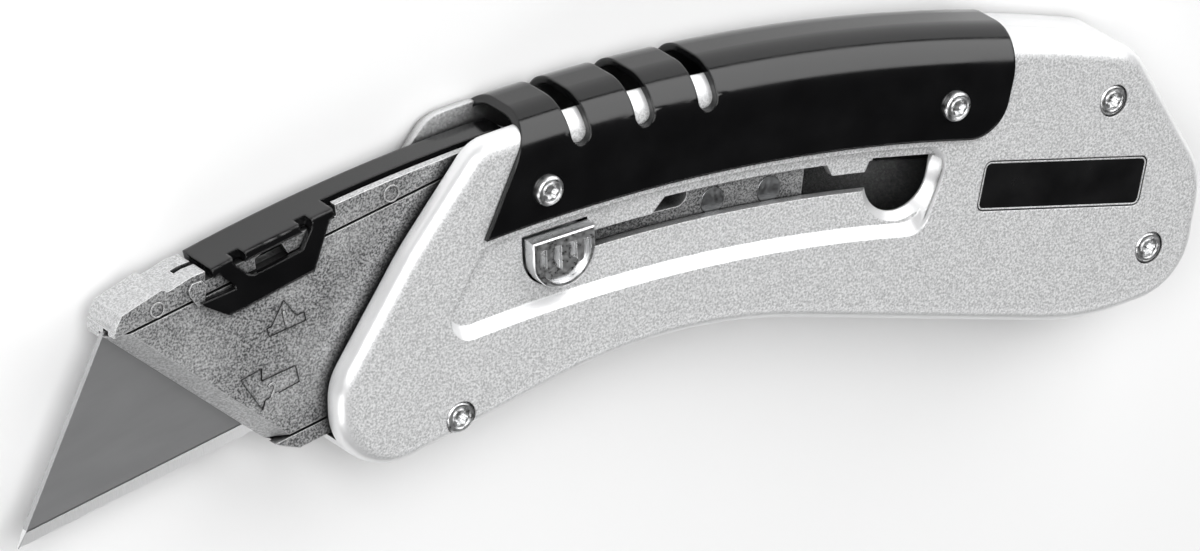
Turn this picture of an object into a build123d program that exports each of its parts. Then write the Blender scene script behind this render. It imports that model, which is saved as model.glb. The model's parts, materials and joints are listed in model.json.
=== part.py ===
from build123d import *
import math
import os

# Pocket utility knife with a sliding, quick-change blade carrier. Millimetres.
# It lies on its back shell: Z runs through the knife's thickness, X along its length
# with the blade towards -X, and Y from the belly up to the spine.
# Almost every long edge is an arc about one far point, the track centre, because the
# blade carrier swings about that point as it slides. Radii are measured from there, and
# angles are in degrees from +Y, positive towards the rear of the handle.

# ---- handle
track_x, track_y = 1.0, -178.0      # track centre
handle_thickness = 11.0             # over both shells
cheek = 2.2                         # flat side wall of each shell
rim = 2.0                           # belly and heel wall
spine_radius = 195.6                # outer spine of the two shells
edge_round = 1.8                    # outer edges of the shells
front_corner_round = 4.0            # spine corner at the mouth
rear_corner_round = 5.0             # spine corner at the heel
waist_round = 60.0                  # hollow of the belly
mouth_x, mouth_bend_y, mouth_top_y = -30.0, -3.8, 23.6
chin_y = -15.5                      # lower front corner
waist_x, waist_y = 9.1, -7.3        # where the two belly lines would meet
heel_x, heel_y = 58.0, -21.3        # lowest corner of the heel
rear_x = 73.2                       # furthest point of the heel
rib_height, rib_count, rib_pitch = 0.5, 3, 7.6    # finger ribs under the belly
rib_top = 8.5
boss_radius = 2.0

# ---- blade carrier
travel = 12.9                       # swing of the carrier from open to closed, degrees
nose_thickness = 4.8
side_play = 0.2                     # carrier to shell, each side
keel_radius = 170.9                 # lowest sweep of the nose
keel_play = 0.5                     # nose to belly wall
strip_radius = 194.2                # top of the latch strip
strip_thickness = 1.0
lever_gap = 0.3                     # under the latch strip
tail_low, tail_high = 178.2, 187.6  # radii of the tail bar
tail_front, tail_end = -3.4, 7.75   # angles of its ends
guide_radius = 181.65               # pins that steer the tail
guide_pin_radius, guide_play = 1.0, 0.08
guide_pin_angles = (4.36, 6.47)
groove_depth = 0.9

# ---- blade
blade_length, blade_height, blade_thickness = 61.0, 18.8, 0.63
blade_slant = 14.4                  # run of each slanted end along the edge
blade_angle = 10.6                  # cutting edge to X
tip_x, tip_y = -63.0, -13.4
grind, edge_half = 1.5, 0.02        # width of the ground bevel, half the edge it leaves
blade_play = 0.05                   # blade to each face of its slot
blade_edge_play = 0.15              # round the blade's outline
notch_pitch, notch_width, notch_depth = 8.0, 3.2, 2.2

# ---- door over the blade: runs are along the cutting edge from the tip, rises square to it
door_front_run, door_front_angle = 26.95, 51.9
door_rear_run = 51.5
door_low_rise, seam_rise = -0.77, 17.58
door_bevel = 1.6
door_play, seam_gap = 0.1, 0.3        # tongues in their grooves, door to carrier
tongue, tongue_thickness = 0.6, 0.7

# ---- latch lever
lever_front_x, lever_flap_rear_x, lever_rear_x = -42.5, -28.8, -8.0
lever_back, lever_tail_width = 3.4, 2.8
flap_thickness = 0.6
lever_pivot_angle, lever_pivot_radius = -4.15, 192.65
lug_radius, lug_thickness, lug_play = 1.3, 2.2, 0.15
pin_radius, pin_play = 0.7, 0.04
tooth_reach = 0.7                   # into the blade's notch
lever_round = 0.35                  # outer edge of the strip
window_corners, corner_cut = [(-39.4, 11.5), (-31.9, 13.0)], 0.75
pocket_floor = 6.4                  # of the hollow behind the flap's window

# ---- thumb slider
slot_low, slot_high = 180.6, 183.8
tooth_front, tooth_rear = 182.3, 182.6
button_width, button_top, button_height = 7.2, 183.75, 1.6
button_rim, button_bar, button_dish = 0.6, 1.0, 0.5
grip_pitch, grip_width, grip_length = 1.75, 0.8, 1.9
dish_reach = 0.8                    # round the rear opening, on the recess's floor
button_drop = 2.0                   # flat top of the button to the middle of its round
button_play, button_lift = 0.2, 0.1
button_angle = -1.68                # button's middle with the carrier open
button_travel = 1.15
recess_low, recess_high, recess_depth, recess_bevel = 175.9, 185.2, 1.2, 1.0
neck_play, neck_half_angle = 0.12, 0.65
block_low, block_high, block_half_angle, block_thickness = 179.3, 183.9, 1.1, 1.2
rivet_radius, rivet_head_radius, rivet_head = 0.5, 0.9, 0.4
spring_thickness = 0.25
spring_drop = 1.5                   # depth of the latch spring's pocket

# ---- spine cover
cover_low, cover_high, cover_wall = 185.9, 196.7, 0.8
cover_proud = 0.5                   # above the front face
cover_round, cover_corner = 4.5, 4.0
cover_front_low_x, cover_front_high_x = -13.3, -7.8
cover_rear = 14.4
cover_slot_width, cover_slot_low = 2.2, 192.6
cover_slot_angles = (-0.95, 1.25, 3.42)

# ---- fasteners, nameplate and buffer
screw_head_radius, screw_shank_radius, screw_head_depth = 1.65, 1.0, 1.1
screw_tip, screw_play = 1.5, 0.05
cover_screw_radius, cover_screw_shank, cover_screw_head = 1.55, 0.9, 0.6
socket_depth, socket_radius = 0.5, 0.75
ring_radius, ring_depth = 0.98, 0.14 # groove turned in each head
plate_length, plate_width, plate_corner = 20.4, 5.2, 0.8
plate_depth, plate_thickness, plate_play = 0.6, 0.5, 0.05
plate_x, plate_y, plate_angle = 55.2, -5.0, -13.2
buffer_low, buffer_high, buffer_gap_angle = 181.0, 185.0, 0.15

middle = handle_thickness / 2
front_floor = handle_thickness - cheek
back_floor = cheek
nose_back = middle - nose_thickness / 2
nose_front = middle + nose_thickness / 2
tail_back, tail_front_face = back_floor + side_play, front_floor - side_play
slot_back = middle - blade_thickness / 2 - blade_play
slot_front = middle + blade_thickness / 2 + blade_play
strip_under = strip_radius - strip_thickness
rail_top = strip_under - lever_gap
recess_floor = handle_thickness - recess_depth
button_back = recess_floor + button_lift
block_front = tail_front_face - button_play / 2
block_back = block_front - block_thickness
cover_front = handle_thickness + cover_proud
boss_points = {"chin": (-16.2, -10.7), "heel_top": (61.4, 2.3), "heel_low": (65.9, -14.9)}
cover_screw_points = [(-6.2, 10.9), (41.8, 7.1)]


def polar(radius, angle):
    """Point at a radius and angle from the track centre."""
    turn = math.radians(angle)
    return (track_x + radius * math.sin(turn), track_y + radius * math.cos(turn))


def angle_of(radius, x):
    """Angle at which the arc of that radius passes x."""
    return math.degrees(math.asin((x - track_x) / radius))


def disc(radius):
    """Full disc about the track centre."""
    return Pos(track_x, track_y) * Circle(radius)


def band(low, high, start, end, high_start=None, high_end=None):
    """Face between two arcs about the track centre. The outer arc may end elsewhere."""
    first = start if high_start is None else high_start
    last = end if high_end is None else high_end
    outer = ThreePointArc(polar(high, first), polar(high, (first + last) / 2), polar(high, last))
    inner = ThreePointArc(polar(low, end), polar(low, (start + end) / 2), polar(low, start))
    ends = [Line(polar(high, last), polar(low, end)), Line(polar(low, start), polar(high, first))]
    return make_face([outer, inner] + ends)


def polygon(points):
    """Face with straight edges."""
    return make_face(Polyline(*points, close=True))


def slab(face, low, high):
    """Face stood between two heights."""
    return extrude(Pos(0, 0, low) * face, high - low, dir=(0, 0, 1))


def rod(point, radius, low, high):
    """Round bar along Z."""
    return slab(Pos(*point) * Circle(radius), low, high)


def on_blade(run, rise):
    """Point a run along the cutting edge from the tip and a rise square to it."""
    turn = math.radians(blade_angle)
    x = tip_x + run * math.cos(turn) - rise * math.sin(turn)
    y = tip_y + run * math.sin(turn) + rise * math.cos(turn)
    return (x, y)


def socket(point, low, high):
    """Six-lobed driver socket."""
    face = Circle(socket_radius * 0.8)
    for place in PolarLocations(socket_radius * 0.78, 6):
        face += place * Circle(socket_radius * 0.26)
    return slab(Pos(*point) * face, low, high)


def edges_at(part, height):
    """Edges of a part that lie in one plane of constant Z."""
    return part.edges().filter_by_position(Axis.Z, height - 0.001, height + 0.001)


# ---------------------------------------------------------------- handle shells
def handle_outline():
    """Outline of both shells: straight runs with rounded corners, under the spine's arc."""
    corners = [
        (mouth_x + 22.0, mouth_top_y, 0),
        (mouth_x + 8.4, mouth_bend_y + 11.8, 30.0),
        (mouth_x, mouth_bend_y, 6.0),
        (mouth_x, chin_y, 7.0),
        (waist_x, waist_y, waist_round),
        (heel_x, heel_y, 30.0),
        (rear_x - 2.4, heel_y + 0.8, 7.0),
        (rear_x, heel_y + 12.8, 8.0),
        (rear_x - 13.0, heel_y + 36.5, 0),
    ]
    points = [corner[:2] for corner in corners]
    path = FilletPolyline(*points, radius=[corner[2] for corner in corners], close=True)
    face = make_face(path) & disc(spine_radius)
    spine = face.edges().filter_by(GeomType.CIRCLE).sort_by(SortBy.RADIUS)[-1]
    ends = spine.vertices().sort_by(Axis.X)
    face = fillet(ends[0], front_corner_round)
    rear = face.vertices().sort_by_distance(ends[-1])[0]
    return fillet(rear, rear_corner_round)


outline = handle_outline()
nose_space = band(keel_radius - keel_play, spine_radius + 5, -25, angle_of(spine_radius, 46.0))


def belly_y(x):
    """Height of the belly's outer edge."""
    sliver = outline & (Pos(x, heel_y) * Rectangle(0.01, 200))
    return sliver.bounding_box().min.Y


def shell_blank(low, high, floor_low, floor_high, outer):
    """One shell: rounded outside, hollowed, with its screw bosses and finger ribs."""
    blank = slab(outline, low, high)
    blank = fillet(edges_at(blank, outer), edge_round)
    hollow = slab(offset(outline, -rim), floor_low, floor_high)
    hollow += slab(nose_space, floor_low, floor_high)
    for point in boss_points.values():
        hollow -= rod(point, boss_radius, low, high)
    blank -= hollow
    for step in range(rib_count):
        x = boss_points["chin"][0] + 1.2 + rib_pitch * step
        centre = (x, belly_y(x) + rib_height)
        blank += rod(centre, 2 * rib_height, max(low, back_floor), min(high, rib_top))
    return blank


def button_face(gap, angle):
    """Half-round outline of the thumb button: flat on the spine side."""
    half = button_width / 2 + gap
    low, top = button_top - button_drop, button_top + gap
    face = Circle(half) & (Pos(0, -half) * Rectangle(2 * half, 2 * half))
    face += Pos(0, (top - low) / 2) * Rectangle(2 * half, top - low)
    return Pos(track_x, track_y) * Rot(0, 0, -angle) * Pos(0, low) * face


def thumb_slot():
    """Slot for the button's neck, with a button-shaped opening at each end."""
    front, rear = button_angle, button_angle + travel
    face = band(slot_low, tooth_front, front, front + 3.6)
    face += band(slot_low, slot_high, front + 3.0, rear - 2.2, front + 4.0, rear - 2.9)
    face += band(slot_low, tooth_rear, rear - 2.7, rear)
    face += button_face(button_play, front)
    face += button_face(button_play, rear)
    return face


def slot_dish():
    """Dished edge round the belly side of the rear opening."""
    half = button_width / 2 + button_play
    cone = Cone(half, half + 2 * dish_reach, 2 * dish_reach)
    centre = polar(button_top - button_drop, button_angle + travel)
    return (Pos(*centre, recess_floor) * cone) & slab(disc(button_top), 0, 2 * handle_thickness)


def recess_cut():
    """Hollow round the thumb slot: flat floor, with a sloped side towards the belly."""
    low_ends = (angle_of(recess_low, -19.6), angle_of(recess_low, 38.2))
    high_ends = (angle_of(recess_high, -13.2), angle_of(recess_high, 42.0))
    lean = 0.1
    mouth = band(recess_low, recess_high, *low_ends, *high_ends)
    floor = band(
        recess_low + recess_bevel,
        recess_high - 0.2,
        low_ends[0] + lean,
        low_ends[1] - lean,
        high_ends[0] + lean,
        high_ends[1] - lean,
    )
    mouth = Pos(0, 0, handle_thickness) * fillet(mouth.vertices(), 2.5)
    floor = Pos(0, 0, recess_floor) * fillet(floor.vertices(), 2.3)
    return loft([mouth, floor], ruled=True)


def plate_face(gap):
    """Outline of the nameplate."""
    face = RectangleRounded(plate_length + 2 * gap, plate_width + 2 * gap, plate_corner + gap)
    return Pos(plate_x, plate_y) * Rot(0, 0, plate_angle) * face


def make_front_shell(room):
    """Front shell: slot and recess for the thumb button, seats for screws and nameplate."""
    top = handle_thickness + 1
    shell = shell_blank(middle, handle_thickness, middle, front_floor, handle_thickness)
    shell -= room
    shell -= recess_cut()
    shell -= slot_dish()
    shell -= slab(thumb_slot(), front_floor - 1, top)
    shell -= slab(plate_face(plate_play), handle_thickness - plate_depth, top)
    for point in boss_points.values():
        shell -= rod(point, screw_shank_radius + screw_play, middle - 1, top)
        seat = handle_thickness - screw_head_depth
        shell -= rod(point, screw_head_radius + screw_play, seat, top)
    for point in cover_screw_points:
        shell -= rod(point, cover_screw_shank, front_floor - 1, top)
    return shell


def make_back_shell(room):
    """Back shell: flat outside, with tapped bosses and the groove for the guide pins."""
    shell = shell_blank(0, middle, back_floor, middle, 0)
    shell -= room
    slack = math.degrees((guide_pin_radius + 0.4) / guide_radius)
    start, end = guide_pin_angles[0] - slack, guide_pin_angles[-1] + travel + slack
    half = guide_pin_radius + guide_play
    track = band(guide_radius - half, guide_radius + half, start, end)
    shell -= slab(track, back_floor - groove_depth, back_floor + 0.1)
    for point in boss_points.values():
        shell -= rod(point, screw_shank_radius, screw_tip - 0.2, middle + 1)
    for point in cover_screw_points:
        shell -= rod(point, cover_screw_shank, -1, back_floor + 1)
    return shell


def cover_side():
    """Side outline of the cover: slanted in front, its lower rear corner rounded."""
    front, crest_front = angle_of(cover_low, cover_front_low_x), angle_of(cover_high, cover_front_high_x)
    face = band(cover_low, cover_high, front, cover_rear, crest_front)
    corner = face.vertices().sort_by_distance((*polar(cover_low, cover_rear), 0))[0]
    return fillet(corner, cover_corner)


def round_crest(part, radius, rounding):
    """Round both edges of a part's top arc."""
    crest = part.faces().sort_by_distance((*polar(radius, 6.0), middle))[0]
    return fillet(crest.edges().filter_by(GeomType.CIRCLE), rounding)


def cover_inside():
    """Space under the cover, open at its ends and below."""
    high = cover_high - cover_wall
    space = band(cover_low - 5, high, angle_of(cover_low, cover_front_low_x) - 9, cover_rear + 9)
    inside = slab(space, cover_wall, cover_front - cover_wall)
    return round_crest(inside, high, cover_round - cover_wall)


def cover_room():
    """What the cover takes from the shells."""
    return slab(cover_side(), -1, cover_front + 1) - cover_inside()


def make_cover():
    """Saddle over the spine: an arched strip with three finger slots and its screw holes."""
    cover = round_crest(slab(cover_side(), 0, cover_front), cover_high, cover_round)
    cover -= cover_inside()
    half = cover_slot_width / 2
    slot = Pos(0, cover_slot_low + half) * Circle(half)
    slot += Pos(0, cover_slot_low + half + 5) * Rectangle(cover_slot_width, 10)
    for angle in cover_slot_angles:
        turned = Pos(track_x, track_y) * Rot(0, 0, -angle) * slot
        cover -= slab(turned, -1, cover_front + 1)
    for point in cover_screw_points:
        cover -= rod(point, cover_screw_shank + screw_play, -1, cover_front + 1)
        cover -= rod(point, cover_screw_radius + screw_play, -1, cover_screw_head)
    return cover


# ---------------------------------------------------------------- blade carrier
def blade_face(gap):
    """Trapezoid of the blade, grown by a gap."""
    corners = [
        on_blade(0, 0),
        on_blade(blade_length, 0),
        on_blade(blade_length - blade_slant, blade_height),
        on_blade(blade_slant, blade_height),
    ]
    face = polygon(corners)
    return offset(face, gap, kind=Kind.INTERSECTION) if gap else face


def make_blade():
    """Trapezoid blade with two notches in its back and an edge ground from both sides."""
    half = blade_thickness / 2
    blade = slab(blade_face(0), middle - half, middle + half)
    for side in (-1, 1):
        run = blade_length / 2 + side * notch_pitch / 2
        floor = blade_height - notch_depth + notch_width / 2
        notch = Pos(0, floor) * Circle(notch_width / 2)
        notch += Pos(0, floor + 2) * Rectangle(notch_width, 4)
        notch = Pos(tip_x, tip_y) * Rot(0, 0, blade_angle) * Pos(run, 0) * notch
        blade -= slab(notch, middle - 1, middle + 1)
    wedge = polygon([(-1, 0), (grind, half), (-1, half)])
    for flip in (1, -1):
        profile = wedge if flip == 1 else mirror(wedge, Plane.XZ)
        stock = extrude(profile, blade_length + 20, both=True)
        stock = Rot(0, 90, 0) * Rot(0, 0, 90) * stock
        blade -= Pos(tip_x, tip_y, middle + flip * edge_half) * Rot(0, 0, blade_angle) * stock
    return blade


def door_front(rise):
    """Run of the door's slanted front edge at a rise."""
    return door_front_run - rise / math.tan(math.radians(door_front_angle))


def door_face(gap, reach):
    """Outline of the door, grown by a gap along its seams and drawn out at the front."""
    low, high = door_low_rise - gap, seam_rise + gap
    return polygon(
        [
            on_blade(door_front(high) - reach, high),
            on_blade(door_rear_run + gap, high),
            on_blade(door_rear_run + gap, low),
            on_blade(door_front(low) - reach, low),
        ]
    )


def tongue_face(gap, reach):
    """Outline of the door with its two tongues."""
    return door_face(tongue + gap, reach)


def make_door():
    """Sliding door over the near side of the blade, on a tongue along each seam."""
    back = slot_front + door_play / 2
    door = slab(door_face(0, 0), back, nose_front)
    face_edges = edges_at(door, nose_front)
    front = face_edges.sort_by_distance((*on_blade(door_front(9), 9), nose_front))[0]
    door = chamfer(front, min(door_bevel, nose_front - back - 0.2))
    wings = slab(tongue_face(0, 0), back + door_play, back + door_play + tongue_thickness)
    keep = [
        on_blade(door_front(seam_rise) + 3.0, seam_rise + 2),
        on_blade(door_rear_run, seam_rise + 2),
        on_blade(door_rear_run, door_low_rise - 2),
        on_blade(door_front(door_low_rise) + 3.0, door_low_rise - 2),
    ]
    return door + (wings & slab(polygon(keep), back, nose_front))


def carrier_face():
    """Side outline of the carrier's nose and middle."""
    front_top = on_blade(door_front(seam_rise) + 0.1, seam_rise - 0.5)
    body = [
        on_blade(door_front(-0.96), -0.96),
        front_top,
        (front_top[0], front_top[1] + 8),
        (-8.0, 20.0),
        (lever_rear_x + 1.0, 15.0),
        (2.5, 10.0),
        (6.0, 9.4),
        (6.0, 0.3),
        (0.5, -4.6),
        (-29.35, -10.4),
        (-32.2, -10.6),
        (-34.4, -9.8),
    ]
    face = (polygon(body) & disc(rail_top)) - disc(keel_radius)
    tip_block = [
        front_top,
        (-52.9, 7.6),
        (-52.2, 8.8),
        (-47.7, 10.3),
        (-47.0, 9.9),
        (-44.3, 10.75),
        (lever_front_x - 0.35, 10.9),
        (lever_front_x - 0.35, 7.0),
    ]
    return face + polygon(tip_block)


def make_carrier():
    """Cast carrier: back plate, tip block, upper rail, lower lip and the guided tail."""
    carrier = slab(carrier_face(), nose_back, nose_front)
    tail = band(tail_low, tail_high, tail_front, tail_end)
    carrier += slab(fillet(tail.vertices().sort_by(Axis.X)[-2:], 1.5), tail_back, tail_front_face)
    cheek_ends = (angle_of(strip_radius, lever_flap_rear_x + 0.6), angle_of(strip_radius, lever_rear_x))
    near_cheek = band(rail_top - 1, strip_radius - 0.1, *cheek_ends)
    carrier += slab(near_cheek, nose_front - 0.8, nose_front)
    blade_room = blade_face(blade_edge_play)
    over_blade = polygon([on_blade(22, 15), on_blade(22, 24), on_blade(49, 24), on_blade(49, 15)])
    carrier -= slab(blade_room + over_blade, slot_back, slot_front)
    carrier -= slab(door_face(seam_gap, 20), slot_front - 0.01, nose_front + 1)
    back = slot_front + door_play / 2
    grooves = slab(tongue_face(door_play, 20), back, back + tongue_thickness + 2 * door_play)
    carrier -= grooves & slab(polygon(groove_reach()), back, nose_front)
    pocket = band(
        block_low - button_play,
        block_high + button_play,
        button_angle - block_half_angle - 0.08,
        button_angle + block_half_angle + 0.08,
    )
    carrier -= slab(pocket, slot_front, tail_front_face + 1)
    scallop = band(tooth_front - 0.5, slot_high + 0.6, 1.5, 3.4)
    scallop = fillet(scallop.vertices().sort_by(Axis.Y)[:2], 1.2)
    carrier -= slab(scallop, nose_front - 1.5, tail_front_face + 1)
    hollow = polygon([(-37.3, 10.7), (-37.1, 8.9), (-33.3, 9.9), (-34.5, 12.0)])
    carrier -= slab(hollow, pocket_floor, nose_front + 1)
    for angle in guide_pin_angles:
        carrier -= rod(polar(guide_radius, angle), guide_pin_radius, 0, tail_front_face + 1)
    pivot = polar(lever_pivot_radius, lever_pivot_angle)
    lug_room = Pos(*pivot) * Circle(lug_radius + 0.3)
    lug_room += Pos(pivot[0], pivot[1] + 2) * Rectangle(2 * lug_radius + 0.6, 4)
    low, high = lug_levels()
    carrier -= slab(lug_room, low - lug_play, high + lug_play)
    carrier -= rod(pivot, pin_radius, nose_back - 1, nose_front + 1)
    spring_room = band(strip_under - spring_drop, strip_under, *spring_ends())
    carrier -= slab(spring_room, lever_back + 0.3, lever_back + lever_tail_width - 0.3)
    tooth_room = Pos(*tooth_place()) * Rot(0, 0, blade_angle) * Rectangle(notch_width + 0.6, 8)
    carrier -= slab(tooth_room, slot_back - 0.4, slot_front + 1.2) & slab(disc(strip_radius), 0, 20)
    return carrier


def groove_reach():
    """The grooves stop where the tip block ends, so that the nose stays closed."""
    return [
        on_blade(door_front(seam_rise) + 3.0 - 14.0, seam_rise + 2),
        on_blade(door_rear_run + 0.3, seam_rise + 2),
        on_blade(door_rear_run + 0.3, door_low_rise - 2),
        on_blade(door_front(door_low_rise) + 3.0 - 14.0, door_low_rise - 2),
    ]


def lug_levels():
    """Heights of the lever's pivot lug."""
    low = lever_back + 0.6
    return low, low + lug_thickness


def spring_ends():
    """Angles between which the latch spring lies."""
    return lever_pivot_angle + 0.75, angle_of(strip_radius, lever_rear_x) - 0.05


def tooth_place():
    """Middle of the blade's rear notch, at the blade's back edge."""
    return on_blade(blade_length / 2 + notch_pitch / 2, blade_height)


def make_lever():
    """Latch lever: top strip, side flap with its window, pivot lug and blade tooth."""
    front = angle_of(strip_radius, lever_front_x)
    flap_rear = angle_of(strip_radius, lever_flap_rear_x)
    rear = angle_of(strip_radius, lever_rear_x)
    flap_front = nose_front + 0.1 + flap_thickness
    lever = slab(band(strip_under, strip_radius, front, flap_rear), lever_back, flap_front)
    lever += slab(
        band(strip_under, strip_radius, flap_rear - 0.2, rear), lever_back, lever_back + lever_tail_width
    )
    flap = [
        (-42.3, 11.1),
        (-39.9, 8.9),
        (-39.9, 8.5),
        (-43.7, 8.0),
        (-43.3, 7.6),
        (-40.7, 6.0),
        (-39.5, 6.1),
        (-32.5, 7.7),
        (-31.0, 8.0),
        (lever_flap_rear_x, 13.9),
        (lever_flap_rear_x, 16.0),
        (-42.3, 16.0),
    ]
    window = [
        (-40.0, 16.0),
        (-40.0, 11.2),
        (-38.6, 9.7),
        (-37.7, 9.4),
        (-32.3, 10.5),
        (-31.0, 12.9),
        (-31.0, 16.0),
    ]
    flap = (polygon(flap) & disc(strip_radius)) - (polygon(window) & disc(strip_under))
    lever += slab(flap, nose_front + 0.1, flap_front)
    top = lever.edges().sort_by_distance((*polar(strip_radius, (front + flap_rear) / 2), flap_front))[0]
    lever = fillet(top, lever_round)
    for point in window_corners:
        lever -= rod(point, corner_cut, nose_front - 0.5, handle_thickness)
    pivot = polar(lever_pivot_radius, lever_pivot_angle)
    low, high = lug_levels()
    lug = Pos(*pivot) * Circle(lug_radius)
    lug += (Pos(pivot[0], pivot[1] + 1) * Rectangle(2 * lug_radius, 2)) & disc(strip_radius)
    lever += slab(lug, low, high)
    lever -= rod(pivot, pin_radius + pin_play, 0, handle_thickness)
    width = notch_width - 0.6
    tooth = Pos(0, 1.5 - tooth_reach) * Rectangle(width, 3)
    tooth = (Pos(*tooth_place()) * Rot(0, 0, blade_angle) * tooth) & disc(strip_radius - 0.2)
    lever += slab(tooth, slot_back + 0.08, slot_front - 0.08)
    return lever


def make_latch_spring():
    """Bowed leaf under the rear end of the lever."""
    start, end = spring_ends()
    low = strip_under - spring_drop + spring_thickness
    bow = ThreePointArc(
        polar(low, start + 0.1),
        polar(rail_top - spring_thickness, (start + end) / 2),
        polar(low, end - 0.1),
    )
    return slab(trace(bow, spring_thickness), lever_back + 0.5, lever_back + lever_tail_width - 0.5)


# ---------------------------------------------------------------- thumb slider
def make_button():
    """Half-round button, dished round three grip ribs, on a neck that runs in the slot."""
    button = slab(button_face(0, button_angle), button_back, button_back + button_height)
    button = fillet(edges_at(button, button_back + button_height), 0.3)
    bar = button_top - button_bar
    dish = button_face(-button_rim, button_angle) & disc(bar)
    for side in (-1, 0, 1):
        length = grip_length + 0.6 * (1 - abs(side))
        grip = Rectangle(grip_width, 2 * length) + Pos(0, -length) * Circle(grip_width / 2)
        turned = Pos(track_x, track_y) * Rot(0, 0, -button_angle) * Pos(side * grip_pitch, bar)
        dish -= turned * grip
    front = button_back + button_height
    button -= slab(dish, front - button_dish, front + 1)
    ends = (button_angle - neck_half_angle, button_angle + neck_half_angle)
    neck = band(slot_low + neck_play, tooth_front - neck_play, *ends)
    button += slab(neck, block_front, button_back + 0.1)
    centre = polar((slot_low + tooth_front) / 2, button_angle)
    return button - rod(centre, rivet_radius, block_front - 1, button_back + 0.4)


def make_block():
    """Plate inside the carrier that the button is riveted to."""
    ends = (button_angle - block_half_angle, button_angle + block_half_angle)
    block = slab(band(block_low, block_high, *ends), block_back, block_front)
    centre = polar((slot_low + tooth_front) / 2, button_angle)
    block -= rod(centre, rivet_radius, 0, handle_thickness)
    return block - rod(centre, rivet_head_radius, block_back - 1, block_back + rivet_head)


def make_rivet():
    """Rivet from the block into the button's neck."""
    centre = polar((slot_low + tooth_front) / 2, button_angle)
    rivet = rod(centre, rivet_radius, block_back, button_back + 0.4)
    return rivet + rod(centre, rivet_head_radius, block_back, block_back + rivet_head)


def make_slider_spring():
    """Bowed leaf between the carrier and the block."""
    centre = polar((block_low + block_high) / 2, button_angle)
    low, high = slot_front + spring_thickness, block_back - spring_thickness
    bow = ThreePointArc((-2.9, low), (0, high), (2.9, low))
    leaf = extrude(Plane.XZ * trace(bow, spring_thickness), 1.1, both=True)
    return Pos(centre[0] + 0.3, centre[1] + 0.6, 0) * leaf


# ---------------------------------------------------------------- fasteners and small parts
def make_body_screws():
    """Three countersunk screws through both shells."""
    group = []
    for point in boss_points.values():
        head = handle_thickness - 0.05
        screw = rod(point, screw_head_radius, handle_thickness - screw_head_depth, head)
        screw = chamfer(edges_at(screw, head), 0.25)
        screw += rod(point, screw_shank_radius, screw_tip, head - 0.5)
        screw -= Pos(*point, head) * Torus(ring_radius, ring_depth)
        group.append(screw - socket(point, head - socket_depth, head + 1))
    return group


def make_cover_screws(seat, tip, outward):
    """Two short screws that hold one side of the cover to its shell."""
    group = []
    for point in cover_screw_points:
        crown = seat + outward * cover_screw_head
        screw = rod(point, cover_screw_radius, min(seat, crown), max(seat, crown))
        if outward > 0:
            screw = fillet(edges_at(screw, crown), 0.4)
        screw += rod(point, cover_screw_shank, min(seat, tip), max(seat, tip))
        screw -= Pos(*point, crown) * Torus(ring_radius, ring_depth)
        low, high = sorted((crown - outward * 0.35, crown + outward))
        group.append(screw - socket(point, low, high))
    return group


def make_buffer():
    """Soft block against the heel wall that the tail comes to rest on."""
    start = tail_end + travel + buffer_gap_angle
    face = band(buffer_low, buffer_high, start, start + 6) & offset(outline, -rim)
    return slab(face, back_floor, front_floor)


room = cover_room()
pins = [
    rod(polar(guide_radius, angle), guide_pin_radius, back_floor - groove_depth + 0.1, tail_front_face)
    for angle in guide_pin_angles
]
pivot_place = polar(lever_pivot_radius, lever_pivot_angle)
nodes = {
    "front_shell": make_front_shell(room),
    "back_shell": make_back_shell(room),
    "spine_cover": make_cover(),
    "nameplate": slab(
        plate_face(0), handle_thickness - plate_depth, handle_thickness - plate_depth + plate_thickness
    ),
    "body_screws": make_body_screws(),
    "cover_screws_front": make_cover_screws(cover_front, front_floor + 0.1, 1),
    "cover_screws_back": make_cover_screws(cover_screw_head, back_floor - 0.1, -1),
    "tail_buffer": make_buffer(),
    "blade_carrier": make_carrier(),
    "guide_pins": pins,
    "carrier_door": make_door(),
    "blade": make_blade(),
    "latch_lever": make_lever(),
    "latch_pin": rod(pivot_place, pin_radius, nose_back + 0.05, nose_front - 0.05),
    "latch_spring": make_latch_spring(),
    "thumb_button": make_button(),
    "button_block": make_block(),
    "button_rivet": make_rivet(),
    "button_spring": make_slider_spring(),
}

# The whole knife is moved so that the origin lies under the middle of its box.
flat = {name: part if isinstance(part, list) else [part] for name, part in nodes.items()}
box = Compound([part for group in flat.values() for part in group]).bounding_box()
centre_x, centre_y = box.center().X, box.center().Y
shift = Pos(-centre_x, -centre_y, -box.min.Z)
os.makedirs("parts", exist_ok=True)
for name, group in flat.items():
    solids = [shift * solid for part in group for solid in part.solids()]
    export_step(Compound(solids) if len(solids) > 1 else solids[0], f"parts/{name}.step")

print("frame shift", round(centre_x, 4), round(centre_y, 4), round(box.min.Z, 4))
print("track centre", round(track_x - centre_x, 4), round(track_y - centre_y, 4))
print("latch pivot", round(pivot_place[0] - centre_x, 4), round(pivot_place[1] - centre_y, 4))
print("overall", box.size)
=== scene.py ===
# %% [markdown]
# A slim pocket utility knife. Two silver shells hold a cast nose that slides in and out
# on a long arc, with a black cover along the spine and a black latch lever on the nose.
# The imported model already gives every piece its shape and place, so this lesson starts
# from it and adds what a casting, a coating or a ground edge shows from close by.

# %% Load the frame
import json
from math import cos, radians, sin

import bmesh
import bpy
from mathutils import Matrix, Vector


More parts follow.
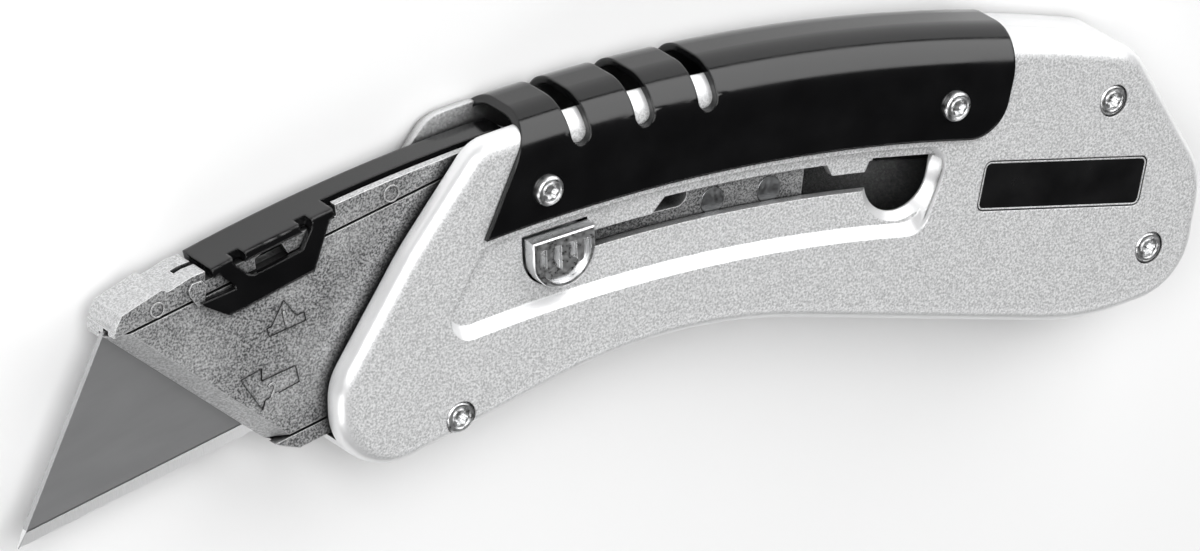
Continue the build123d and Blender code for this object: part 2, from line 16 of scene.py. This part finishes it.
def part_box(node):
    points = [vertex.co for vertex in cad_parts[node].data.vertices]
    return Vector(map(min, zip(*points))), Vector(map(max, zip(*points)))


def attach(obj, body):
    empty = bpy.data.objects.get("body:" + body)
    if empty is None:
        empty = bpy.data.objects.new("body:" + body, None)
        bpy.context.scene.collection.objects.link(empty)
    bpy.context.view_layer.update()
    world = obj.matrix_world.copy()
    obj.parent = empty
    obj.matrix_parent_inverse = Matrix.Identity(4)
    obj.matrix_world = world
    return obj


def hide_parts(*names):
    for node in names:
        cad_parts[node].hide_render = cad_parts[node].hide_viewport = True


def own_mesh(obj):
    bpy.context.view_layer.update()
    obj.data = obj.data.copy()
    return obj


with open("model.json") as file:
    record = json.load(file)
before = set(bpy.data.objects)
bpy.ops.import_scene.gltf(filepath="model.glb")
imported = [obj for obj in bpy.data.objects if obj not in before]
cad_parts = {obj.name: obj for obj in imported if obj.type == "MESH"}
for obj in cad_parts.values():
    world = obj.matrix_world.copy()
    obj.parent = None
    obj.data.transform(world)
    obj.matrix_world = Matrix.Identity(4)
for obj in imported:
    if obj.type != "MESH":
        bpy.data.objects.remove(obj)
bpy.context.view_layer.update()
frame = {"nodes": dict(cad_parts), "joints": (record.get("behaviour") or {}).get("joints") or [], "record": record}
nodes = frame["nodes"]
MM = 0.001

# %% [markdown]
# Nearly every long edge of the knife is an arc about one point, far below the handle,
# because the nose swings about it. The hinge in the record gives that point, and the
# blade's own box gives its tip. Details are placed from these two.

# %% Find the arc's centre and the blade's tip
joints = {joint["name"]: joint for joint in frame["joints"]}
track = Vector(joints["blade_slide"]["pos_m"])
blade_degrees = 10.6
blade_turn = radians(blade_degrees)
blade_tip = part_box("blade")[0]
nose_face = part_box("carrier_door")[1].z
front_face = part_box("front_shell")[1].z
DRAWN_X, DRAWN_Y = 1.0, -178.0


def drawn(x, y):
    """Place on the knife's drawing, where the arc's centre is at DRAWN_X, DRAWN_Y in mm."""
    return (track.x + (x - DRAWN_X) * MM, track.y + (y - DRAWN_Y) * MM)


print("arc centre", [round(value / MM, 1) for value in track])
print("nose face at", round(nose_face / MM, 2), "mm")

# %% [markdown]
# The camera stands well back with a long lens, as a product camera does, so the knife
# hardly narrows with distance. It looks down steeply, and it is rolled so that the knife
# rises from the blade to the heel. Three angles say all of this: the tilt from straight
# above, the line on the table that the tilt turns about, and the roll.

# %% Place the camera
tilt, tilt_line, roll = radians(41.45), radians(50.1), radians(58.49)
camera_distance = 1.2
aim = Vector((*drawn(0, 0), front_face))
across = Vector((cos(tilt_line), sin(tilt_line), 0))
away = Vector((-sin(tilt_line), cos(tilt_line), 0))
upward = Vector((0, 0, 1))
back = upward * cos(tilt) + away * sin(tilt)
rise = away * cos(tilt) - upward * sin(tilt)
right = across * cos(roll) - rise * sin(roll)
top = across * sin(roll) + rise * cos(roll)

camera_data = bpy.data.cameras.new("long_lens")
camera_data.lens = 374.4
camera_data.sensor_width = 36
camera_data.clip_end = 20
camera = bpy.data.objects.new("camera", camera_data)
turn = Matrix((right, top, back)).transposed().to_4x4()
camera.matrix_world = Matrix.Translation(aim + back * camera_distance) @ turn
bpy.context.scene.collection.objects.link(camera)
bpy.context.scene.camera = camera
mirror_way = Vector((-back.x, -back.y, back.z))
print("flat faces mirror the direction", [round(value, 2) for value in mirror_way])

# %% [markdown]
# The set is a pale table in a bright room with one dark patch. Flat faces that look up
# mirror exactly that patch, so flat gloss black stays black. A long softbox stands behind
# the spine: the rounded crest shows it as a grey band with a sharp lower edge. The key
# light comes from the camera's side, and small ones light the mouth and the ground edge.

# %% Lay the table and hang the lights
bpy.ops.mesh.primitive_plane_add(size=6)
table = bpy.context.object
table.name = "table"
table_finish = bpy.data.materials.new("pale_table")
table_finish.use_nodes = True
table_shader = table_finish.node_tree.nodes["Principled BSDF"]
table_shader.inputs["Base Color"].default_value = (0.92, 0.92, 0.92, 1)
table_shader.inputs["Roughness"].default_value = 0.9
table.data.materials.append(table_finish)

world = bpy.data.worlds.new("studio")
bpy.context.scene.world = world
world.use_nodes = True
sky = world.node_tree
way = sky.nodes.new("ShaderNodeTexCoord").outputs["Generated"]
toward = sky.nodes.new("ShaderNodeVectorMath")
toward.operation = "DOT_PRODUCT"
toward.inputs[1].default_value = mirror_way
sky.links.new(way, toward.inputs[0])
patch = sky.nodes.new("ShaderNodeMapRange")
patch.interpolation_type = "SMOOTHSTEP"
for index, value in enumerate((0.8, 0.95, 0.36, 0.003), start=1):
    patch.inputs[index].default_value = value
sky.links.new(toward.outputs["Value"], patch.inputs[0])
sky.links.new(patch.outputs["Result"], sky.nodes["Background"].inputs["Strength"])


def softbox(name, direction, distance, size, power):
    """Area light that stands off the knife in a direction and faces it."""
    data = bpy.data.lights.new(name, "AREA")
    data.shape = "RECTANGLE"
    data.size, data.size_y = size
    data.energy = power
    lamp = bpy.data.objects.new(name, data)
    way = Vector(direction).normalized()
    lamp.location = way * distance
    lamp.rotation_euler = way.to_track_quat("Z", "Y").to_euler()
    bpy.context.scene.collection.objects.link(lamp)
    return lamp


softbox("key", (-0.5, 0.45, 0.9), 0.9, (0.6, 0.6), 6.8)
softbox("behind_spine", (0.5, 0.62, 0.44), 0.7, (0.7, 0.62), 4.4)
softbox("mouth", (-0.85, -0.45, 0.45), 0.8, (0.25, 0.4), 1.6)
softbox("ground_edge", (0.56, -0.68, 0.47), 0.9, (0.35, 0.16), 0.8)
bpy.context.scene.view_settings.view_transform = "Standard"

# %% [markdown]
# Each finish is a small node network on one shader. A helper keeps the networks short:
# it adds a node, sets its plain values and joins its inputs in one call.

# %% Helpers for finishes
DEEP_SHADE = (0.01, 0.01, 0.01)


def new_finish(name, color, metallic, roughness):
    """Material with one shader. Plain values sit on the shader's own sockets."""
    finish = bpy.data.materials.new(name)
    finish.use_nodes = True
    tree = finish.node_tree
    shader = tree.nodes["Principled BSDF"]
    shader.inputs["Base Color"].default_value = (*color, 1)
    shader.inputs["Metallic"].default_value = metallic
    shader.inputs["Roughness"].default_value = roughness
    return finish, tree, shader


def add(tree, kind, settings=None, **inputs):
    """Add a node, set its options, and set or link its inputs by name."""
    node = tree.nodes.new(kind)
    for key, value in (settings or {}).items():
        setattr(node, key, value)
    for key, value in inputs.items():
        numbered = key[0] == "n" and key[1:].isdigit()
        socket = node.inputs[int(key[1:]) if numbered else key.replace("_", " ")]
        if isinstance(value, bpy.types.NodeSocket):
            tree.links.new(value, socket)
        else:
            socket.default_value = value
    return node


def ramp(tree, source, low, high, dark=0.0, light=1.0):
    """Stretch a value between two levels onto another range."""
    node = add(tree, "ShaderNodeMapRange", n0=source, n1=low, n2=high, n3=dark, n4=light)
    return node.outputs["Result"]


def blend_colors(tree, factor, dark, light):
    """Mix two colours by a value."""
    node = add(tree, "ShaderNodeMix", {"data_type": "RGBA"})
    tree.links.new(factor, node.inputs[0])
    for index, color in ((6, dark), (7, light)):
        if isinstance(color, bpy.types.NodeSocket):
            tree.links.new(color, node.inputs[index])
        else:
            node.inputs[index].default_value = (*color, 1)
    return node.outputs[2]


def place_in_mm(tree):
    """Object coordinates, counted in millimetres."""
    spot = add(tree, "ShaderNodeTexCoord").outputs["Object"]
    scaled = add(tree, "ShaderNodeVectorMath", {"operation": "SCALE"}, n0=spot)
    scaled.inputs["Scale"].default_value = 1000
    return scaled.outputs["Vector"]


def noise(tree, spot, scale, detail=2.0, rough=0.5):
    """Soft random pattern. The scale is in waves per millimetre."""
    settings = {"Vector": spot, "Scale": scale, "Detail": detail, "Roughness": rough}
    return add(tree, "ShaderNodeTexNoise", **settings).outputs["Fac"]


def soft_edges(tree, radius_mm):
    """Normal that rounds sharp edges over a small radius, as a coating or a tumbling does."""
    return add(tree, "ShaderNodeBevel", {"samples": 6}, Radius=radius_mm * MM).outputs["Normal"]


def dent(tree, height, depth_mm, normal, strength=1.0):
    """Bump whose full height is given in millimetres."""
    settings = {"Height": height, "Strength": strength, "Distance": depth_mm * MM}
    return add(tree, "ShaderNodeBump", Normal=normal, **settings).outputs["Normal"]


def edge_wear_and_highlight(tree, radius_mm):
    """One on convex and concave edges, nothing on plain faces. Marks edges for wear and painted highlight."""
    rounded = soft_edges(tree, radius_mm)
    plain = add(tree, "ShaderNodeNewGeometry").outputs["Normal"]
    match = add(tree, "ShaderNodeVectorMath", {"operation": "DOT_PRODUCT"}, n0=rounded, n1=plain)
    return ramp(tree, match.outputs["Value"], 0.99, 0.9)


def clear_of_painted_shade(tree, reach_mm, low=0.3, high=0.75):
    """Painted shade: nothing deep in gaps, corners and cavities, where shade falls. One elsewhere."""
    shade = add(tree, "ShaderNodeAmbientOcclusion", {"samples": 6}, Distance=reach_mm * MM)
    return ramp(tree, shade.outputs["AO"], low, high)


def facing_up(tree):
    """One on faces that lie flat, nothing on walls and rounded edges."""
    normal = add(tree, "ShaderNodeTexCoord").outputs["Normal"]
    split = add(tree, "ShaderNodeSeparateXYZ", n0=normal).outputs["Z"]
    flat = add(tree, "ShaderNodeMath", {"operation": "ABSOLUTE"}, n0=split).outputs[0]
    return ramp(tree, flat, 0.8, 0.99)


# %% [markdown]
# The shells are die-cast and sprayed with a metallic paint whose flakes show as a fine
# sparkle on the flat sides. Handling wears the flakes smooth on the rounded edges, so the
# grain fades there: the pattern is mixed by how flat the surface lies. The smooth colour on
# walls and edges is lighter than the flakes, partly as a painted highlight. Painted shade
# turns the colour near black inside the handle and in deep corners.

# %% Silver paint
FLAKE_WAVES = 4.2


def silver_paint():
    finish, tree, shader = new_finish("silver_paint", (0.6, 0.61, 0.62), 0.35, 0.4)
    spot = place_in_mm(tree)
    flat = facing_up(tree)
    flakes = noise(tree, spot, FLAKE_WAVES, 2.0, 0.75)
    cloud = noise(tree, spot, 0.12, 3.0)
    grain = ramp(tree, flakes, 0.36, 0.64)
    shade = blend_colors(tree, grain, (0.48, 0.483, 0.487), (0.94, 0.944, 0.95))
    drift = ramp(tree, cloud, 0.3, 0.7)
    # Walls and rounded edges: flakes worn smooth, and a lighter colour as painted highlight.
    calm = blend_colors(tree, drift, (0.8, 0.803, 0.808), (0.87, 0.873, 0.878))
    coat = blend_colors(tree, flat, calm, shade)
    # Painted shade: the colour goes near black inside the handle and in deep corners.
    outside = clear_of_painted_shade(tree, 16.0, 0.3, 0.52)
    shaded = blend_colors(tree, outside, DEEP_SHADE, coat)
    tree.links.new(shaded, shader.inputs["Base Color"])
    tree.links.new(ramp(tree, flat, 0.0, 1.0, 0.3, 0.46), shader.inputs["Roughness"])
    tree.links.new(dent(tree, flakes, 0.03, soft_edges(tree, 0.25), 0.5), shader.inputs["Normal"])
    return finish


print("flake size about", round(1 / FLAKE_WAVES, 2), "mm")

# %% [markdown]
# The cover and the latch lever have a smooth black coating. Flat black must stay nearly
# black, so its own colour is very dark and only a clear top coat mirrors the softbox. A
# faint swell in the coat keeps the long reflections from looking ruled.

# %% Gloss black
def gloss_black(name, roughness):
    finish, tree, shader = new_finish(name, (0.006, 0.006, 0.0065), 0.0, roughness)
    spot = place_in_mm(tree)
    haze = noise(tree, spot, 0.25, 4.0)
    peel = noise(tree, spot, 0.9, 2.0)
    tint = blend_colors(tree, haze, (0.003, 0.003, 0.0032), (0.008, 0.008, 0.0085))
    tree.links.new(tint, shader.inputs["Base Color"])
    duller = ramp(tree, haze, 0.3, 0.7, roughness, roughness * 1.6)
    tree.links.new(duller, shader.inputs["Roughness"])
    tree.links.new(dent(tree, peel, 0.01, soft_edges(tree, 0.32), 0.2), shader.inputs["Normal"])
    return finish


# %% [markdown]
# The nose is left as cast and tumbled: a dull grey skin with coarse grain. Its walls and
# rounded sides are painted lighter than the flat face, as painted light. Its edges are
# painted bright, partly for the tumbling stones' polish and partly as a painted highlight;
# the rounded-edge normal adds the real bright lines. Painted shade darkens the gaps, the
# corners and the face beside the shell's mouth.

# %% Cast zinc
def cast_zinc():
    finish, tree, shader = new_finish("cast_zinc", (0.42, 0.425, 0.43), 0.5, 0.4)
    spot = place_in_mm(tree)
    skin = noise(tree, spot, 4.4, 3.0, 0.75)
    cloud = noise(tree, spot, 0.15, 2.0)
    grain = ramp(tree, skin, 0.4, 0.6)
    deep = blend_colors(tree, grain, (0.06, 0.061, 0.063), (0.6, 0.603, 0.608))
    light = blend_colors(tree, grain, (0.22, 0.222, 0.225), (0.72, 0.723, 0.728))
    # Painted light: walls and rounded sides get a lighter colour than the flat face.
    sides = blend_colors(tree, grain, (0.42, 0.423, 0.428), (0.72, 0.723, 0.728))
    faces = blend_colors(tree, ramp(tree, cloud, 0.4, 0.65), deep, light)
    skin_color = blend_colors(tree, facing_up(tree), sides, faces)
    # Bright edge colour: partly tumbling wear, partly a painted highlight.
    edged = blend_colors(tree, edge_wear_and_highlight(tree, 0.16), skin_color, (0.9, 0.9, 0.905))
    # Painted shade: gaps, corners and the face beside the shell's mouth go near black.
    gaps = clear_of_painted_shade(tree, 3.0, 0.3, 0.85)
    shaded = blend_colors(tree, gaps, DEEP_SHADE, edged)
    tree.links.new(shaded, shader.inputs["Base Color"])
    tree.links.new(ramp(tree, skin, 0.3, 0.7, 0.5, 0.34), shader.inputs["Roughness"])
    tree.links.new(dent(tree, skin, 0.03, soft_edges(tree, 0.16), 0.6), shader.inputs["Normal"])
    return finish


# %% [markdown]
# The blade is strip steel. Its sides are rolled to a satin grey and its edge is ground
# bright from both sides. The pattern is turned to the blade's own line, so the border
# between satin and ground steel runs exactly along the bevel.

# %% Blade steel
BEVEL_RISE = 1.5


def blade_steel():
    finish, tree, shader = new_finish("blade_steel", (0.2, 0.2, 0.21), 1.0, 0.34)
    spot = place_in_mm(tree)
    turned = add(tree, "ShaderNodeMapping", {"vector_type": "TEXTURE"}, n0=spot)
    turned.inputs["Location"].default_value = (blade_tip.x / MM, blade_tip.y / MM, 0)
    turned.inputs["Rotation"].default_value = (0, 0, blade_turn)
    in_blade = turned.outputs["Vector"]
    rise_mm = add(tree, "ShaderNodeSeparateXYZ", n0=in_blade).outputs["Y"]
    stretched = add(tree, "ShaderNodeMapping", n0=in_blade)
    stretched.inputs["Scale"].default_value = (0.5, 2.0, 1)
    cloud = noise(tree, stretched.outputs["Vector"], 0.3, 3.0)
    crossed = add(tree, "ShaderNodeMapping", n0=in_blade)
    crossed.inputs["Scale"].default_value = (6.0, 0.3, 1)
    strokes = noise(tree, crossed.outputs["Vector"], 3.0, 2.0)
    ground = ramp(tree, rise_mm, BEVEL_RISE + 0.02, BEVEL_RISE - 0.02)
    flat = blend_colors(tree, cloud, (0.48, 0.483, 0.49), (0.58, 0.583, 0.59))
    bright = blend_colors(tree, strokes, (0.75, 0.755, 0.76), (0.95, 0.95, 0.955))
    tree.links.new(blend_colors(tree, ground, flat, bright), shader.inputs["Base Color"])
    tree.links.new(ramp(tree, ground, 0.0, 1.0, 0.5, 0.28), shader.inputs["Roughness"])
    tree.links.new(dent(tree, cloud, 0.01, soft_edges(tree, 0.1), 0.2), shader.inputs["Normal"])
    return finish


# %% [markdown]
# Screws and pins are plated or plain steel, both bright and slightly marked by handling.
# The tail buffer is soft and dull, so that it does not answer the light at all.

# %% Bright plating, plain steel and rubber
def plated(name, color, roughness):
    finish, tree, shader = new_finish(name, color, 1.0, roughness)
    spot = place_in_mm(tree)
    marks = noise(tree, spot, 2.5, 3.0)
    dull = tuple(0.82 * part for part in color)
    tree.links.new(blend_colors(tree, marks, dull, color), shader.inputs["Base Color"])
    duller = ramp(tree, marks, 0.3, 0.7, roughness, roughness * 1.8)
    tree.links.new(duller, shader.inputs["Roughness"])
    tree.links.new(dent(tree, marks, 0.01, soft_edges(tree, 0.12), 0.3), shader.inputs["Normal"])
    return finish


def soft_rubber():
    finish, tree, shader = new_finish("soft_rubber", (0.02, 0.02, 0.02), 0.0, 0.7)
    spot = place_in_mm(tree)
    grain = noise(tree, spot, 4.0, 2.0)
    tree.links.new(ramp(tree, grain, 0.3, 0.7, 0.6, 0.8), shader.inputs["Roughness"])
    tree.links.new(dent(tree, grain, 0.03, soft_edges(tree, 0.1)), shader.inputs["Normal"])
    return finish


# %% [markdown]
# Each CAD piece names its material in the record. Every name gets one finish here. The
# two blacks differ only in how sharply they mirror, because the nameplate is duller.

# %% Give every piece its finish
finishes = {
    "silver_paint": silver_paint(),
    "gloss_black": gloss_black("gloss_black", 0.11),
    "plate_black": gloss_black("plate_black", 0.18),
    "cast_zinc": cast_zinc(),
    "blade_steel": blade_steel(),
    "screw_chrome": plated("screw_chrome", (0.86, 0.865, 0.87), 0.24),
    "pin_steel": plated("pin_steel", (0.5, 0.51, 0.52), 0.28),
    "spring_steel": plated("spring_steel", (0.3, 0.31, 0.33), 0.3),
    "soft_buffer": soft_rubber(),
}
for entry in frame["record"]["subparts"]:
    mesh = nodes[entry["node"]].data
    mesh.materials.clear()
    mesh.materials.append(finishes[entry["material_slot"]])
print("finishes given to", len(nodes), "pieces")

# %% [markdown]
# The small marks are thin raised shapes, as they would be if they were cut into the
# mould. Most stand about a sixth of a millimetre off the casting. Each starts as a flat
# face, is inset to leave only its rim when it is an outline, and is pulled up into a
# solid. Its foot sinks slightly into the surface under it, so no gap can show.

# %% Helpers for raised marks
MARK_RISE, MARK_SINK = 0.16, 0.03


def finish_mark(name, mesh, body, slot):
    """Turn a mesh under construction into a piece that rides on a body."""
    bmesh.ops.recalc_face_normals(mesh, faces=mesh.faces[:])
    data = bpy.data.meshes.new(name)
    mesh.to_mesh(data)
    mesh.free()
    piece = bpy.data.objects.new(name, data)
    bpy.context.scene.collection.objects.link(piece)
    data.materials.append(finishes[slot])
    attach(piece, body)
    return piece


def raise_mark(name, mesh, surface, body, slot, line=None, height=MARK_RISE):
    """Pull flat faces up into a solid. With a line width, only the outline is kept."""
    if line:
        inner = mesh.faces[:]
        rim = {"thickness": line * MM, "use_boundary": True, "use_even_offset": True}
        bmesh.ops.inset_region(mesh, faces=inner, **rim)
        bmesh.ops.delete(mesh, geom=inner, context="FACES")
    for vertex in mesh.verts:
        vertex.co.z = surface - MARK_SINK * MM
    grown = bmesh.ops.extrude_face_region(mesh, geom=mesh.faces[:], use_keep_orig=True)
    lifted = [part for part in grown["geom"] if isinstance(part, bmesh.types.BMVert)]
    bmesh.ops.translate(mesh, verts=lifted, vec=(0, 0, (height + MARK_SINK) * MM))
    return finish_mark(name, mesh, body, slot)


def round_mark(name, x, y, radius, surface, body, slot, line=None, height=MARK_RISE):
    """Disc or ring at a place in millimetres."""
    mesh = bmesh.new()
    place = Matrix.Translation((*drawn(x, y), 0))
    bmesh.ops.create_circle(mesh, cap_ends=True, segments=48, radius=radius * MM, matrix=place)
    return raise_mark(name, mesh, surface, body, slot, line, height)


def outline_mark(name, corners, surface, body, slot, line=None, height=MARK_RISE):
    """Straight-sided shape through corners in millimetres."""
    mesh = bmesh.new()
    mesh.faces.new([mesh.verts.new((*drawn(x, y), 0)) for x, y in corners])
    return raise_mark(name, mesh, surface, body, slot, line, height)


print("marks stand", MARK_RISE, "mm off their surface")

# %% [markdown]
# Two raised arrows on the door show the order of changing a blade: lift the lever, then
# pull the door forward. Each has a plain number beside it. The arrows' rims come out as
# upright walls with no width: a new face has no normal until the mesh works it out, and
# the inset follows that normal.

# %% Arrows on the door
arrow_up = [
    (-35.9, 2.2),
    (-31.7, 2.8),
    (-31.9, 3.7),
    (-32.8, 3.6),
    (-34.2, 5.6),
    (-35.6, 3.2),
    (-36.1, 3.1),
]
arrow_out = [
    (-39.2, -1.5),
    (-36.8, -5.3),
    (-36.5, -4.3),
    (-32.6, -3.4),
    (-33.0, -1.6),
    (-36.9, -2.2),
    (-36.8, -0.9),
]
arrow_line = 0.26
outline_mark("arrow_lift", arrow_up, nose_face, "door", "cast_zinc", arrow_line)
outline_mark("arrow_pull", arrow_out, nose_face, "door", "cast_zinc", arrow_line)


def number_mark(digit, x, y, turn, height=1.5):
    """Plain numeral, filled and given thickness. Capitals are 0.7 of the type size."""
    curve = bpy.data.curves.new("digit_" + digit, "FONT")
    curve.body = digit
    curve.size = height * MM / 0.7
    curve.extrude = (MARK_RISE + MARK_SINK) / 2 * MM
    curve.resolution_u = 3
    written = bpy.data.objects.new("written", curve)
    bpy.context.scene.collection.objects.link(written)
    bpy.context.view_layer.update()
    solid = written.evaluated_get(bpy.context.evaluated_depsgraph_get())
    data = bpy.data.meshes.new_from_object(solid)
    bpy.data.objects.remove(written)
    bpy.data.curves.remove(curve)
    mesh = bmesh.new()
    mesh.from_mesh(data)
    bpy.data.meshes.remove(data)
    lift = nose_face + (MARK_RISE - MARK_SINK) / 2 * MM
    place = Matrix.Translation((*drawn(x, y), lift)) @ Matrix.Rotation(radians(turn), 4, "Z")
    bmesh.ops.transform(mesh, matrix=place, verts=mesh.verts)
    bmesh.ops.remove_doubles(mesh, verts=mesh.verts, dist=1e-7)
    return finish_mark("number_" + digit, mesh, "door", "cast_zinc")


number_mark("1", -34.5, 2.9, blade_degrees)
number_mark("2", -36.0, -4.2, blade_degrees)
print("arrows and numbers ride on the door")

# %% [markdown]
# Casting leaves round witness marks where pins pushed the hot nose out of its mould. They
# stand as faint rings on the rail, and one arrow-shaped boss sits beside them. Two guide
# pins in the nose's tail show their flat heads through the slot in the handle.

# %% Marks on the nose
ring_line = 0.15
round_mark("witness_front", -48.3, 8.4, 0.8, nose_face, "carrier", "cast_zinc", ring_line)
round_mark("witness_rear", -21.8, 13.4, 0.9, nose_face, "carrier", "cast_zinc", ring_line)
boss = [
    (-44.9, 9.5),
    (-44.7, 8.8),
    (-43.9, 7.6),
    (-43.1, 7.7),
    (-43.1, 8.3),
    (-42.9, 9.6),
    (-43.4, 10.2),
    (-44.5, 10.1),
]
outline_mark("arrow_boss", boss, nose_face, "carrier", "cast_zinc", height=0.3)
pin_track, pin_angles = 181.65, (4.36, 6.47)
head_radius, head_height = 1.35, 0.07
tail_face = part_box("guide_pins")[1].z
for count, angle in enumerate(pin_angles, start=1):
    turn = radians(angle)
    place = (DRAWN_X + pin_track * sin(turn), DRAWN_Y + pin_track * cos(turn))
    head = (f"pin_head_{count}", *place, head_radius, tail_face, "carrier", "pin_steel")
    round_mark(*head, height=head_height)
print("witness marks, the boss and two pin heads ride on the carrier")

# %% [markdown]
# A bowed leaf lies between the nose and the slider's plate, and goes nearly flat when the
# button is pressed. The leaf is a strip of faces bent to an arch and thickened, and it takes
# the place of the CAD spring, which is hidden.

# %% Leaf under the slider
low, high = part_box("button_spring")
leaf_thickness = 0.24 * MM
foot_drop = 0.1 * MM
mesh = bmesh.new()
bmesh.ops.create_grid(mesh, x_segments=32, y_segments=1, size=0.5)
arch = high.z - low.z - leaf_thickness
for vertex in mesh.verts:
    share = vertex.co.x
    vertex.co.x = (low.x + high.x) / 2 + share * (high.x - low.x)
    vertex.co.y = (low.y + high.y) / 2 + vertex.co.y * (high.y - low.y)
    vertex.co.z = low.z + arch * (1 - 4 * share * share)
grown = bmesh.ops.extrude_face_region(mesh, geom=mesh.faces[:], use_keep_orig=True)
lifted = [part for part in grown["geom"] if isinstance(part, bmesh.types.BMVert)]
bmesh.ops.translate(mesh, verts=lifted, vec=(0, 0, leaf_thickness))
leaf = finish_mark("slider_leaf", mesh, "carrier", "spring_steel")
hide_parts("button_spring")
foot = (low + high) / 2
foot.z = low.z - foot_drop
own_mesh(leaf)
print("the leaf's arch is", round(arch / MM, 2), "mm high at rest")

# %% [markdown]
# The nameplate is blank, because the part carries no name. A thin bright rim frames it,
# as on a plate that was printed and then trimmed by a die.

# %% Rim of the nameplate
low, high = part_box("nameplate")
plate_turn = radians(-13.2)
plate_length, plate_width, corner = 20.2, 5.0, 0.7
rim_line, rim_rise = 0.16, 0.04
mesh = bmesh.new()
bmesh.ops.create_grid(mesh, x_segments=1, y_segments=1, size=0.5)
bmesh.ops.scale(mesh, vec=(plate_length * MM, plate_width * MM, 1), verts=mesh.verts)
rounding = {"offset": corner * MM, "segments": 6, "profile": 0.5, "material": -1}
bmesh.ops.bevel(mesh, geom=mesh.verts[:], affect="VERTICES", **rounding)
middle = (low + high) / 2
place = Matrix.Translation((middle.x, middle.y, 0)) @ Matrix.Rotation(plate_turn, 4, "Z")
bmesh.ops.transform(mesh, matrix=place, verts=mesh.verts)
raise_mark("plate_rim", mesh, high.z, "handle", "silver_paint", rim_line, rim_rise)
rim_depth = (front_face - high.z) / MM - rim_rise
print("the rim lies", round(rim_depth, 2), "mm below the shell's face")
